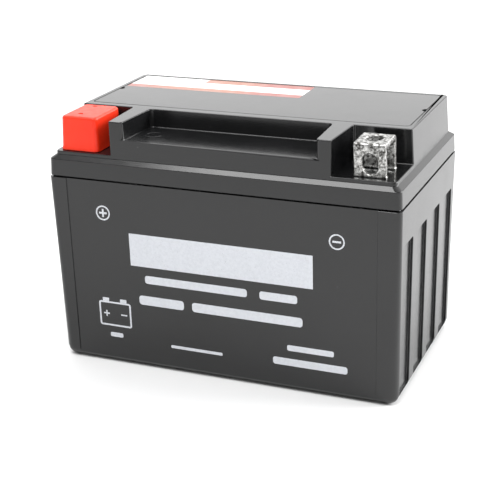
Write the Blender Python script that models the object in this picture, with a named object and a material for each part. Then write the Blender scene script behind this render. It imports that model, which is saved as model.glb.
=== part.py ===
"""Sealed six-cell motorcycle battery, built piece by piece as it would come apart on a bench.

Frame: metres, +Z up, origin at the centre of the base. +X runs along the length towards the
negative terminal, and the terminal side (front) faces -Y.
"""
import math

import bmesh
import bpy

MM = 0.001

# ---------------------------------------------------------------- driving dimensions, millimetres
LENGTH = 150.0
WIDTH = 87.0
HEIGHT = 106.0
GAP = 0.3                       # clearance between pieces that touch
OVERRUN = 2.0                   # cutting tools pass the surfaces they open by this much

CASE_TOP = 81.4
SEAM = 0.4                      # weld line between case and lid
CASE_DRAFT = 0.6                # each side, from the seam down to the base
BASE_ROUND = 4.0
CORNER_TOP = 3.0
CORNER_BASE = 5.0
CORNER_TUCK = 2.5               # corners tighten by this much towards the very bottom
PANEL_LEFT = -66.9              # sunk panel on the long faces
PANEL_RIGHT = 65.9
PANEL_DEPTH = 0.45
GROOVE_COUNT = 4
GROOVE_WIDTH = 13.8
GROOVE_PITCH = 20.6
GROOVE_OFFSET = -1.2            # centre of the groove row along Y
GROOVE_TOP = 66.1
GROOVE_DEPTH = 1.1
GROOVE_FOOT = 3.2               # ledge that closes the groove, with a chamfer from it down to the base
GROOVE_LEDGE_INSET = 0.15       # ledge to the ribs' outer faces
GROOVE_TOP_LEAN = 0.5           # the top edge is lower at the back of the groove and higher outside

CELLS = 6
CELL_HALF_LENGTH = 71.0
CELL_HALF_DEPTH = 40.5
PARTITION = 1.5
CASE_FLOOR = 3.0

LID_SETBACK = 0.2               # lid wall inside the case wall at the seam
LID_ROUND = 3.0
FLANGE_INSET = 0.5
FLANGE_TOP = 88.9
CHAMFER_TOP = 90.5
CHAMFER_INSET = 2.7
BLOCK_TOP_INSET = 3.55
BLOCK_ROUND = 2.1
EDGE_BREAK = 0.3                # small chamfer on the lid's upper edges
FRONT_INSET = 2.4
NOTCH_FLOOR = 92.0
NOTCH_BACK = -16.9
NOTCH_SIDE_FRONT = 46.6         # walls between tray and notches are wedge shaped
NOTCH_SIDE_BACK = 47.9
NOTCH_CORNER = 1.0
TRAY_FLOOR = 98.4
TRAY_BACK = -17.6
TRAY_SIDE_FRONT = 40.8
TRAY_SIDE_BACK = 39.8
TRAY_MOUTH_ROUND = 2.0
TRAY_CORNER = 1.5
HEADSPACE_TOP = 88.2
TRAY_UNDERSIDE = 96.2
POCKET_MARGIN = 0.5             # hollows under the tray and the notches, inside the cells' walls
POCKET_STEP = 0.01
POCKET_WALL = 1.8
POCKET_BACK = 1.2

PLATE_LEFT = -69.0
PLATE_RIGHT = 69.0
PLATE_FRONT = -13.1
PLATE_BACK = 38.0
PLATE_THICKNESS = 2.0
PLATE_ROUND = 2.0
PRY_NOTCH_RADIUS = 1.6
CHAMBER_MARGIN = 1.8            # ledge that the cover plate sits on
CHAMBER_FLOOR = 90.5
LABEL_LEFT = -68.6
LABEL_RIGHT = 13.0
LABEL_FRONT = 17.0
LABEL_BACK = 37.6
LABEL_THICKNESS = 0.2
LABEL_SUNK = 0.05
LABEL_MARGIN = 0.1              # recess around the label
LABEL_ROUND = 0.8

NECK_RADIUS = 6.0
NECK_ROOT = 1.3                 # the necks start this far above the headspace
NECK_BORE = 4.0
NECK_TOP = 101.2
VALVE_WALL = 0.9
VALVE_CROWN = 1.5
VALVE_CHAMFER = 0.7
VALVE_SKIRT = 93.0

TERMINAL_X = 61.0
TERMINAL_WIDTH = 12.4
TERMINAL_FRONT = -37.5
TERMINAL_BACK = -23.5
TERMINAL_TOP = 105.0
TERMINAL_WALL = 2.0
TERMINAL_ROUND = 1.8
TERMINAL_BASE = 85.8
TERMINAL_STEP = 0.2             # the legs are this much thinner where they pass through the lid
BOLT_HOLE_RADIUS = 3.2
BOLT_SLOT_HEIGHT = 8.2
BOLT_SLOT_Z = 97.2
NOTCH_UNDERSIDE = 90.0
SEAL_BOTTOM = 88.1

RED_CAP_LEFT = -69.8
RED_CAP_RIGHT = -53.2
RED_CAP_FRONT = -39.4
RED_CAP_BACK = -17.6
RED_CAP_BOTTOM = 92.3
RED_CAP_TOP = 105.95
RED_CAP_WALL = 1.0
RED_CAP_CEILING = 0.65
RED_CAP_DRAFT = 0.45
RED_CAP_ROUND = 2.0
RED_CAP_SHOULDER = 1.2
RED_CAP_TUCK = 0.9              # corners tighten by this much over the shoulder
RED_CAP_INNER_ROUND = 1.2

POSITIVE_PLATES = 4
NEGATIVE_PLATES = 5
POSITIVE_PLATE = 1.4
NEGATIVE_PLATE = 1.1
STACK_MARGIN = 0.4              # stack to partition
PLATE_HALF_DEPTH = 38.0
PLATE_BOTTOM = 3.6
PLATE_TOP = 66.0
SHEET_HALF_DEPTH = 39.6
SHEET_BOTTOM = 3.3
SHEET_TOP = 67.5
STRAP_Y = 28.0
STRAP_HALF_WIDTH = 8.0
LUG_HALF_WIDTH = 4.5
LUG_SUNK = 1.0
PLATE_SHY = 0.05                # outer plates stop short of the strap's ends
STRAP_BOTTOM = 69.0
STRAP_TOP = 72.5
LINK_TOP = 81.0
LINK_LUG = 2.0
LINK_HALF_WIDTH = 6.0
LINK_PLUG_RADIUS = 3.0
POST_RADIUS = 4.5
POST_FOOT_RADIUS = 6.5
POST_FOOT = 2.0

ROUND_STEPS = 24
CORNER_STEPS = 4
ARC_SHARE = 0.3                 # middle point of a two-step corner, as a share of its size

CELL_WIDTH = (2.0 * CELL_HALF_LENGTH - (CELLS - 1) * PARTITION) / CELLS
CELL_PITCH = CELL_WIDTH + PARTITION
LID_BOTTOM = CASE_TOP + SEAM
VALVE_Y = (PLATE_FRONT + PLATE_BACK) / 2.0


# ---------------------------------------------------------------- materials
def material(name, colour, roughness, metallic=0.0):
    made = bpy.data.materials.new(name)
    made.use_nodes = True
    shader = made.node_tree.nodes["Principled BSDF"]
    shader.inputs["Base Color"].default_value = (*colour, 1.0)
    shader.inputs["Roughness"].default_value = roughness
    shader.inputs["Metallic"].default_value = metallic
    made.diffuse_color = (*colour, 1.0)
    return made


# ---------------------------------------------------------------- shape helpers
def rounded_outline(left, right, front, back, radius, steps=CORNER_STEPS):
    """Counter-clockwise outline of a rectangle with round corners."""
    centres = (
        (right - radius, back - radius, 0.0),
        (left + radius, back - radius, 90.0),
        (left + radius, front + radius, 180.0),
        (right - radius, front + radius, 270.0),
    )
    points = []
    for centre_x, centre_y, start in centres:
        for step in range(steps + 1):
            angle = math.radians(start + 90.0 * step / steps)
            points.append((centre_x + radius * math.cos(angle), centre_y + radius * math.sin(angle)))
    return points


def add_loft(mesh, rings):
    """Skin rings of equal point counts, lowest first, and close both ends."""
    loops = []
    for outline, height in rings:
        loops.append([mesh.verts.new((x * MM, y * MM, height * MM)) for x, y in outline])
    count = len(loops[0])
    for lower, upper in zip(loops, loops[1:]):
        for index in range(count):
            following = (index + 1) % count
            mesh.faces.new((lower[index], lower[following], upper[following], upper[index]))
    mesh.faces.new(list(reversed(loops[0])))
    mesh.faces.new(loops[-1])


def add_prism(mesh, outline, bottom, top):
    add_loft(mesh, [(outline, bottom), (outline, top)])


def add_box(mesh, left, right, front, back, bottom, top):
    add_prism(mesh, [(left, front), (right, front), (right, back), (left, back)], bottom, top)


def circle(centre_x, centre_y, radius, steps=ROUND_STEPS):
    points = []
    for step in range(steps):
        angle = 2.0 * math.pi * step / steps
        points.append((centre_x + radius * math.cos(angle), centre_y + radius * math.sin(angle)))
    return points


def add_turned(mesh, centre_x, centre_y, profile):
    """Revolve a profile of (radius, height) points that starts and ends on the axis."""
    rings = []
    for radius, height in profile[1:-1]:
        ring = [mesh.verts.new((x * MM, y * MM, height * MM)) for x, y in circle(centre_x, centre_y, radius)]
        rings.append(ring)
    first = mesh.verts.new((centre_x * MM, centre_y * MM, profile[0][1] * MM))
    last = mesh.verts.new((centre_x * MM, centre_y * MM, profile[-1][1] * MM))
    for step in range(ROUND_STEPS):
        following = (step + 1) % ROUND_STEPS
        mesh.faces.new((first, rings[0][step], rings[0][following]))
        for inner, outer in zip(rings, rings[1:]):
            mesh.faces.new((inner[step], outer[step], outer[following], inner[following]))
        mesh.faces.new((last, rings[-1][following], rings[-1][step]))


def make_object(name, mesh, finish, smooth_angle=None):
    bmesh.ops.recalc_face_normals(mesh, faces=mesh.faces)
    data = bpy.data.meshes.new(name)
    mesh.to_mesh(data)
    mesh.free()
    if finish is not None:
        data.materials.append(finish)
    if smooth_angle is not None:
        data.shade_smooth()
        data.set_sharp_from_angle(angle=math.radians(smooth_angle))
    made = bpy.data.objects.new(name, data)
    bpy.context.scene.collection.objects.link(made)
    return made


def add_boolean(target, mesh, name, operation="DIFFERENCE"):
    """Cut or join the target with a hidden tool made from the mesh."""
    tool = make_object(name, mesh, None)
    tool.hide_render = True
    tool.display_type = "WIRE"
    modifier = target.modifiers.new(name, "BOOLEAN")
    modifier.object = tool
    modifier.operation = operation
    modifier.solver = "EXACT"
    return tool


def cell_left(cell):
    return -CELL_HALF_LENGTH + cell * CELL_PITCH


def cell_centre(cell):
    return cell_left(cell) + CELL_WIDTH / 2.0


def positive_side(cell):
    """Positive straps sit at the front in cells 1, 3 and 5, and at the back in 2, 4 and 6."""
    return -1.0 if cell % 2 == 0 else 1.0


# ---------------------------------------------------------------- container
def case_ring(height):
    draft = CASE_DRAFT * (1.0 - height / CASE_TOP)
    drop = max(0.0, BASE_ROUND - height)
    inset = draft + BASE_ROUND - math.sqrt(BASE_ROUND ** 2 - drop ** 2)
    blend = min(1.0, height / BASE_ROUND)
    radius = CORNER_TOP + (CORNER_BASE - CORNER_TOP) * (1.0 - height / CASE_TOP)
    radius -= CORNER_TUCK * (1.0 - blend)
    half_x = LENGTH / 2.0 - inset
    half_y = WIDTH / 2.0 - inset
    return rounded_outline(-half_x, half_x, -half_y, half_y, radius), height


def groove_tools(mesh):
    """Four upright grooves in each end, with a ledge and a chamfer at the foot of each."""
    outside = LENGTH / 2.0 + OVERRUN
    foot_x = LENGTH / 2.0 - CASE_DRAFT - GROOVE_LEDGE_INSET
    slope = (foot_x - (LENGTH / 2.0 - CASE_DRAFT - BASE_ROUND)) / GROOVE_FOOT
    profile = (
        (LENGTH / 2.0 - GROOVE_DEPTH, GROOVE_TOP - GROOVE_TOP_LEAN),
        (LENGTH / 2.0 - CASE_DRAFT - GROOVE_DEPTH, GROOVE_FOOT),
        (foot_x, GROOVE_FOOT),
        (foot_x - slope * (GROOVE_FOOT + OVERRUN / 2.0), -OVERRUN / 2.0),
        (outside, -OVERRUN / 2.0),
        (outside, GROOVE_TOP + GROOVE_TOP_LEAN),
    )
    first = GROOVE_OFFSET - GROOVE_PITCH * (GROOVE_COUNT - 1) / 2.0
    for side in (-1.0, 1.0):
        for groove in range(GROOVE_COUNT):
            centre = first + groove * GROOVE_PITCH
            ends = []
            for edge in (centre - GROOVE_WIDTH / 2.0, centre + GROOVE_WIDTH / 2.0):
                ends.append([mesh.verts.new((side * x * MM, edge * MM, z * MM)) for x, z in profile])
            count = len(profile)
            for index in range(count):
                following = (index + 1) % count
                mesh.faces.new((ends[0][index], ends[0][following], ends[1][following], ends[1][index]))
            mesh.faces.new(ends[0])
            mesh.faces.new(list(reversed(ends[1])))


def panel_tools(mesh):
    """Shallow full-height panels in the two long faces, following their draft."""
    top = WIDTH / 2.0 - PANEL_DEPTH
    base = top - CASE_DRAFT
    outside = WIDTH / 2.0 + OVERRUN
    for side, left, right in ((-1.0, PANEL_LEFT, PANEL_RIGHT), (1.0, -PANEL_RIGHT, -PANEL_LEFT)):
        lower = [(left, side * base), (right, side * base), (right, side * outside), (left, side * outside)]
        upper = [(left, side * top), (right, side * top), (right, side * outside), (left, side * outside)]
        if side < 0.0:
            lower.reverse()
            upper.reverse()
        add_loft(mesh, [(lower, 0.0), (upper, CASE_TOP + OVERRUN / 2.0)])


def build_case(finish):
    mesh = bmesh.new()
    heights = [BASE_ROUND * (1.0 - math.cos(math.radians(angle))) for angle in (0.0, 30.0, 55.0, 75.0, 90.0)]
    add_loft(mesh, [case_ring(height) for height in heights + [CASE_TOP]])
    case = make_object("case", mesh, finish, 30.0)

    tool = bmesh.new()
    for cell in range(CELLS):
        left = cell_left(cell)
        add_box(tool, left, left + CELL_WIDTH, -CELL_HALF_DEPTH, CELL_HALF_DEPTH,
                CASE_FLOOR, CASE_TOP + OVERRUN)
    add_boolean(case, tool, "tool_case_cells")

    tool = bmesh.new()
    groove_tools(tool)
    add_boolean(case, tool, "tool_case_grooves")

    tool = bmesh.new()
    panel_tools(tool)
    add_boolean(case, tool, "tool_case_panels")

    tool = bmesh.new()
    link_centre = (STRAP_TOP + GAP + LINK_TOP) / 2.0
    for link in range(CELLS - 1):
        wall = cell_left(link + 1) - PARTITION / 2.0
        add_turned_x(tool, wall, link_side(link) * STRAP_Y, link_centre, LINK_PLUG_RADIUS + GAP,
                     PARTITION + OVERRUN / 2.0)
    add_boolean(case, tool, "tool_case_link_holes")
    return case


# ---------------------------------------------------------------- lid
def lid_ring(side_inset, front_inset, height, radius):
    half_x = LENGTH / 2.0 - side_inset
    outline = rounded_outline(-half_x, half_x, -WIDTH / 2.0 + front_inset, WIDTH / 2.0 - side_inset, radius)
    return outline, height


def notch_outline(side):
    """Terminal notch, open to the front and to the end of the battery."""
    outline = [
        (side * NOTCH_SIDE_FRONT, -WIDTH / 2.0 - OVERRUN),
        (side * (LENGTH / 2.0 + OVERRUN), -WIDTH / 2.0 - OVERRUN),
        (side * (LENGTH / 2.0 + OVERRUN), NOTCH_BACK),
        (side * (NOTCH_SIDE_BACK + NOTCH_CORNER), NOTCH_BACK),
        (side * (NOTCH_SIDE_BACK + ARC_SHARE * NOTCH_CORNER), NOTCH_BACK - ARC_SHARE * NOTCH_CORNER),
        (side * NOTCH_SIDE_BACK, NOTCH_BACK - NOTCH_CORNER),
    ]
    return outline if side > 0.0 else list(reversed(outline))


def tray_outline():
    """Shallow tray between the terminals, open to the front, with a rounded mouth."""
    front = -WIDTH / 2.0 + FRONT_INSET
    right_half = []
    for step in range(CORNER_STEPS + 1):
        angle = math.radians(90.0 * step / CORNER_STEPS)
        x = TRAY_SIDE_FRONT + TRAY_MOUTH_ROUND * (1.0 - math.sin(angle))
        y = front + TRAY_MOUTH_ROUND * (1.0 - math.cos(angle))
        right_half.append((x, y))
    right_half.insert(0, (TRAY_SIDE_FRONT + TRAY_MOUTH_ROUND, front - OVERRUN))
    right_half += [
        (TRAY_SIDE_BACK, TRAY_BACK - TRAY_CORNER),
        (TRAY_SIDE_BACK - ARC_SHARE * TRAY_CORNER, TRAY_BACK - ARC_SHARE * TRAY_CORNER),
        (TRAY_SIDE_BACK - TRAY_CORNER, TRAY_BACK),
    ]
    left_half = [(-x, y) for x, y in reversed(right_half)]
    return right_half + left_half


def build_lid(finish):
    mesh = bmesh.new()
    add_loft(mesh, [
        lid_ring(LID_SETBACK, LID_SETBACK, LID_BOTTOM, LID_ROUND),
        lid_ring(FLANGE_INSET, FLANGE_INSET, FLANGE_TOP - EDGE_BREAK, LID_ROUND),
        lid_ring(FLANGE_INSET + EDGE_BREAK, FLANGE_INSET + EDGE_BREAK, FLANGE_TOP,
                 LID_ROUND - EDGE_BREAK),
        lid_ring(CHAMFER_INSET, FRONT_INSET, CHAMFER_TOP, BLOCK_ROUND),
        lid_ring(BLOCK_TOP_INSET, FRONT_INSET, HEIGHT - EDGE_BREAK, BLOCK_ROUND),
        lid_ring(BLOCK_TOP_INSET + EDGE_BREAK, FRONT_INSET + EDGE_BREAK, HEIGHT,
                 BLOCK_ROUND - EDGE_BREAK),
    ])
    lid = make_object("lid", mesh, finish, 30.0)

    tool = bmesh.new()
    above = HEIGHT + OVERRUN
    add_prism(tool, notch_outline(-1.0), NOTCH_FLOOR, above)
    add_prism(tool, tray_outline(), TRAY_FLOOR, above)
    add_prism(tool, notch_outline(1.0), NOTCH_FLOOR, above)
    add_boolean(lid, tool, "tool_lid_front")

    tool = bmesh.new()
    recess = rounded_outline(
        PLATE_LEFT - GAP, PLATE_RIGHT + GAP, PLATE_FRONT - GAP, PLATE_BACK + GAP, PLATE_ROUND + GAP)
    add_prism(tool, recess, HEIGHT - PLATE_THICKNESS - GAP, above)
    add_boolean(lid, tool, "tool_lid_plate_recess")

    tool = bmesh.new()
    chamber = rounded_outline(
        PLATE_LEFT + CHAMBER_MARGIN, PLATE_RIGHT - CHAMBER_MARGIN,
        PLATE_FRONT + CHAMBER_MARGIN, PLATE_BACK - CHAMBER_MARGIN, PLATE_ROUND)
    add_prism(tool, chamber, CHAMBER_FLOOR, above)
    add_boolean(lid, tool, "tool_lid_valve_chamber")

    tool = bmesh.new()
    for cell in range(CELLS):
        add_prism(tool, circle(cell_centre(cell), VALVE_Y, NECK_RADIUS),
                  HEADSPACE_TOP + NECK_ROOT, NECK_TOP)
    add_boolean(lid, tool, "tool_lid_necks", "UNION")

    tool = bmesh.new()
    for cell in range(CELLS):
        left = cell_left(cell)
        add_box(tool, left, left + CELL_WIDTH, -CELL_HALF_DEPTH, CELL_HALF_DEPTH, LID_BOTTOM - OVERRUN,
                HEADSPACE_TOP)
    add_boolean(lid, tool, "tool_lid_headspace")

    tool = bmesh.new()
    for cell in range(CELLS):
        end_cell = cell in (0, CELLS - 1)
        reach = CELL_HALF_LENGTH - POCKET_MARGIN if end_cell else TRAY_SIDE_BACK - 2.0 * POCKET_MARGIN
        left = max(cell_left(cell) + POCKET_STEP, -reach)
        right = min(cell_left(cell) + CELL_WIDTH - POCKET_STEP, reach)
        front = -WIDTH / 2.0 + FRONT_INSET + POCKET_WALL
        top = NOTCH_UNDERSIDE if end_cell else TRAY_UNDERSIDE
        add_box(tool, left, right, front, TRAY_BACK - POCKET_BACK, HEADSPACE_TOP - OVERRUN, top)
    add_boolean(lid, tool, "tool_lid_front_headspace")

    tool = bmesh.new()
    for cell in range(CELLS):
        add_prism(tool, circle(cell_centre(cell), VALVE_Y, NECK_BORE),
                  HEADSPACE_TOP - OVERRUN, NECK_TOP + OVERRUN)
    for side in (-1.0, 1.0):
        half = TERMINAL_WIDTH / 2.0 + GAP
        for near, far in terminal_legs():
            add_box(tool, side * TERMINAL_X - half, side * TERMINAL_X + half, near - GAP, far + GAP,
                    NOTCH_UNDERSIDE - GAP, NOTCH_FLOOR + GAP)
    add_boolean(lid, tool, "tool_lid_bores")
    return lid


# ---------------------------------------------------------------- cover plate and label
def build_cover_plate(finish):
    mesh = bmesh.new()
    outline = rounded_outline(PLATE_LEFT, PLATE_RIGHT, PLATE_FRONT, PLATE_BACK, PLATE_ROUND)
    add_prism(mesh, outline, HEIGHT - PLATE_THICKNESS, HEIGHT)
    plate = make_object("top_cover_plate", mesh, finish, 30.0)

    tool = bmesh.new()
    add_box(tool, LABEL_LEFT - LABEL_MARGIN, LABEL_RIGHT + LABEL_MARGIN,
            LABEL_FRONT - LABEL_MARGIN, LABEL_BACK + LABEL_MARGIN,
            HEIGHT - LABEL_SUNK - LABEL_THICKNESS - GAP, HEIGHT + OVERRUN)
    for edge in (PLATE_LEFT, PLATE_RIGHT):
        add_prism(tool, circle(edge, VALVE_Y, PRY_NOTCH_RADIUS, ROUND_STEPS // 2),
                  HEIGHT - PLATE_THICKNESS - OVERRUN, HEIGHT + OVERRUN)
    add_boolean(plate, tool, "tool_plate")
    return plate


def build_label(finish):
    mesh = bmesh.new()
    top = HEIGHT - LABEL_SUNK
    outline = rounded_outline(LABEL_LEFT, LABEL_RIGHT, LABEL_FRONT, LABEL_BACK, LABEL_ROUND, 2)
    add_prism(mesh, outline, top - LABEL_THICKNESS, top)
    return make_object("top_label", mesh, finish)


# ---------------------------------------------------------------- relief valves
def build_valve_cap(cell, finish):
    """Rubber cap that seals a cell's neck and lifts when gas has to escape."""
    inner = NECK_RADIUS + GAP
    outer = inner + VALVE_WALL
    inside_top = NECK_TOP + GAP
    crown = inside_top + VALVE_CROWN
    mesh = bmesh.new()
    add_turned(mesh, 0.0, 0.0, [
        (0.0, crown),
        (outer - VALVE_CHAMFER, crown),
        (outer, crown - VALVE_CHAMFER),
        (outer, VALVE_SKIRT),
        (inner, VALVE_SKIRT),
        (inner, inside_top),
        (0.0, inside_top),
    ])
    cap = make_object(f"valve_cap_{cell + 1}", mesh, finish, 30.0)
    cap.location = (cell_centre(cell) * MM, VALVE_Y * MM, 0.0)
    return cap


# ---------------------------------------------------------------- terminals
def terminal_legs():
    return (
        (TERMINAL_FRONT, TERMINAL_FRONT + TERMINAL_WALL),
        (TERMINAL_BACK - TERMINAL_WALL, TERMINAL_BACK),
    )


def add_x_prism(mesh, outline, left, right):
    """Prism along X over an outline of (y, z) points."""
    ends = []
    for x in (left, right):
        ends.append([mesh.verts.new((x * MM, y * MM, z * MM)) for y, z in outline])
    count = len(outline)
    for index in range(count):
        following = (index + 1) % count
        mesh.faces.new((ends[0][index], ends[0][following], ends[1][following], ends[1][index]))
    mesh.faces.new(list(reversed(ends[0])))
    mesh.faces.new(ends[1])


def add_turned_x(mesh, centre_x, centre_y, centre_z, radius, length):
    """Cylinder along X."""
    add_x_prism(mesh, circle(centre_y, centre_z, radius), centre_x - length / 2.0, centre_x + length / 2.0)


def slot_outline(centre_x, centre_z, radius, height):
    """Upright slot with half-round ends, as (x, z) points."""
    points = []
    reach = height / 2.0 - radius
    for step in range(ROUND_STEPS + 2):
        angle = 2.0 * math.pi * (step if step <= ROUND_STEPS // 2 else step - 1) / ROUND_STEPS
        shift = reach if step <= ROUND_STEPS // 2 else -reach
        points.append((centre_x + radius * math.cos(angle), centre_z + shift + radius * math.sin(angle)))
    return points


def build_terminal(name, side, finish):
    """Lead bracket whose legs run down through the lid to a buried foot plate."""
    left = side * TERMINAL_X - TERMINAL_WIDTH / 2.0
    right = left + TERMINAL_WIDTH
    mesh = bmesh.new()
    outer = []
    for start, centre_y in ((0.0, TERMINAL_BACK - TERMINAL_ROUND), (90.0, TERMINAL_FRONT + TERMINAL_ROUND)):
        for step in range(CORNER_STEPS + 1):
            angle = math.radians(start + 90.0 * step / CORNER_STEPS)
            y = centre_y + TERMINAL_ROUND * math.cos(angle)
            outer.append((y, TERMINAL_TOP - TERMINAL_ROUND + TERMINAL_ROUND * math.sin(angle)))
    step_z = NOTCH_FLOOR + GAP
    outer += [
        (TERMINAL_FRONT, step_z),
        (TERMINAL_FRONT + TERMINAL_STEP, step_z),
        (TERMINAL_FRONT + TERMINAL_STEP, TERMINAL_BASE),
        (TERMINAL_BACK - TERMINAL_STEP, TERMINAL_BASE),
        (TERMINAL_BACK - TERMINAL_STEP, step_z),
        (TERMINAL_BACK, step_z),
    ]
    add_x_prism(mesh, outer, left, right)
    terminal = make_object(name, mesh, finish, 30.0)

    tool = bmesh.new()
    add_box(tool, left - OVERRUN, right + OVERRUN,
            TERMINAL_FRONT + TERMINAL_WALL, TERMINAL_BACK - TERMINAL_WALL,
            TERMINAL_BASE + TERMINAL_WALL, TERMINAL_TOP - TERMINAL_WALL)
    add_boolean(terminal, tool, f"tool_{name}_inside")

    tool = bmesh.new()
    centre_y = (TERMINAL_FRONT + TERMINAL_BACK) / 2.0
    add_prism(tool, circle(side * TERMINAL_X, centre_y, BOLT_HOLE_RADIUS),
              TERMINAL_TOP - TERMINAL_WALL - GAP, TERMINAL_TOP + OVERRUN)
    slot = slot_outline(side * TERMINAL_X, BOLT_SLOT_Z, BOLT_HOLE_RADIUS, BOLT_SLOT_HEIGHT)
    front = TERMINAL_FRONT - OVERRUN
    back = TERMINAL_FRONT + TERMINAL_WALL + GAP
    near = [tool.verts.new((x * MM, front * MM, z * MM)) for x, z in slot]
    far = [tool.verts.new((x * MM, back * MM, z * MM)) for x, z in slot]
    for index in range(len(slot)):
        following = (index + 1) % len(slot)
        tool.faces.new((near[index], near[following], far[following], far[index]))
    tool.faces.new(list(reversed(near)))
    tool.faces.new(far)
    add_boolean(terminal, tool, f"tool_{name}_holes")
    return terminal


def build_terminal_seal(name, side, finish):
    """Cured sealing pad between the terminal's foot plate and the floor of the notch."""
    mesh = bmesh.new()
    half = TERMINAL_WIDTH / 2.0
    add_box(mesh, side * TERMINAL_X - half, side * TERMINAL_X + half,
            TERMINAL_FRONT + TERMINAL_WALL + GAP, TERMINAL_BACK - TERMINAL_WALL - GAP,
            SEAL_BOTTOM, NOTCH_UNDERSIDE - GAP)
    return make_object(name, mesh, finish)


def build_post(name, side, finish):
    """Lead post from the end cell's strap up to the terminal's foot plate."""
    bottom = STRAP_TOP + GAP
    mesh = bmesh.new()
    add_turned(mesh, 0.0, 0.0, [
        (0.0, TERMINAL_BASE - GAP),
        (POST_RADIUS, TERMINAL_BASE - GAP),
        (POST_RADIUS, bottom + POST_FOOT),
        (POST_FOOT_RADIUS, bottom + POST_FOOT),
        (POST_FOOT_RADIUS, bottom),
        (0.0, bottom),
    ])
    post = make_object(name, mesh, finish, 30.0)
    centre_y = (TERMINAL_FRONT + TERMINAL_BACK) / 2.0
    post.location = (side * TERMINAL_X * MM, centre_y * MM, 0.0)
    return post


def build_red_cap(finish):
    """Soft cap over the positive terminal, open underneath."""
    centre_x = (RED_CAP_LEFT + RED_CAP_RIGHT) / 2.0
    centre_y = (RED_CAP_FRONT + RED_CAP_BACK) / 2.0

    def ring(inset, height, radius):
        outline = rounded_outline(
            RED_CAP_LEFT + inset - centre_x, RED_CAP_RIGHT - inset - centre_x,
            RED_CAP_FRONT + inset - centre_y, RED_CAP_BACK - inset - centre_y, radius)
        return outline, height

    mesh = bmesh.new()
    shoulder = RED_CAP_TOP - RED_CAP_SHOULDER
    rings = [ring(0.0, RED_CAP_BOTTOM, RED_CAP_ROUND), ring(RED_CAP_DRAFT, shoulder, RED_CAP_ROUND)]
    for angle in (30.0, 60.0, 90.0):
        turn = math.radians(angle)
        creep = 1.0 - math.cos(turn)
        height = shoulder + RED_CAP_SHOULDER * math.sin(turn)
        inset = RED_CAP_DRAFT + RED_CAP_SHOULDER * creep
        rings.append(ring(inset, height, RED_CAP_ROUND - RED_CAP_TUCK * creep))
    add_loft(mesh, rings)
    cap = make_object("red_terminal_cap", mesh, finish, 40.0)
    cap.location = (centre_x * MM, centre_y * MM, 0.0)

    tool = bmesh.new()
    add_loft(tool, [
        ring(RED_CAP_WALL, RED_CAP_BOTTOM - GAP, RED_CAP_INNER_ROUND),
        ring(RED_CAP_WALL + RED_CAP_DRAFT, RED_CAP_TOP - RED_CAP_CEILING, RED_CAP_INNER_ROUND),
    ])
    inside = add_boolean(cap, tool, "tool_red_cap_inside")
    inside.location = cap.location
    return cap


# ---------------------------------------------------------------- cell elements
def stack_places():
    """X of every plate and mat layer in a cell, measured from the cell's left wall."""
    plates = POSITIVE_PLATES + NEGATIVE_PLATES
    lead = POSITIVE_PLATES * POSITIVE_PLATE + NEGATIVE_PLATES * NEGATIVE_PLATE
    layer = (CELL_WIDTH - 2.0 * STACK_MARGIN - lead) / (plates - 1)
    places = []
    x = STACK_MARGIN
    for index in range(plates):
        positive = index % 2 == 1
        thickness = POSITIVE_PLATE if positive else NEGATIVE_PLATE
        places.append((positive, x, x + thickness))
        x += thickness + layer
    return places, layer


def build_plate_group(name, cell, positive, finish):
    """Plates of one polarity, burned to their common strap."""
    places = [(left, right) for kind, left, right in stack_places()[0] if kind == positive]
    strap_y = STRAP_Y * positive_side(cell) * (1.0 if positive else -1.0)
    mesh = bmesh.new()
    add_box(mesh, places[0][0], places[-1][1], strap_y - STRAP_HALF_WIDTH, strap_y + STRAP_HALF_WIDTH,
            STRAP_BOTTOM, STRAP_TOP)
    group = make_object(name, mesh, finish)
    group.location = (cell_left(cell) * MM, 0.0, 0.0)

    tool = bmesh.new()
    outline = (
        (-PLATE_HALF_DEPTH, PLATE_BOTTOM),
        (PLATE_HALF_DEPTH, PLATE_BOTTOM),
        (PLATE_HALF_DEPTH, PLATE_TOP),
        (strap_y + LUG_HALF_WIDTH, PLATE_TOP),
        (strap_y + LUG_HALF_WIDTH, STRAP_BOTTOM + LUG_SUNK),
        (strap_y - LUG_HALF_WIDTH, STRAP_BOTTOM + LUG_SUNK),
        (strap_y - LUG_HALF_WIDTH, PLATE_TOP),
        (-PLATE_HALF_DEPTH, PLATE_TOP),
    )
    for index, (left, right) in enumerate(places):
        inset_left = PLATE_SHY if index == 0 else 0.0
        inset_right = PLATE_SHY if index == len(places) - 1 else 0.0
        add_x_prism(tool, outline, left + inset_left, right - inset_right)
    plates = add_boolean(group, tool, f"tool_{name}", "UNION")
    plates.location = group.location
    return group


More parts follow.
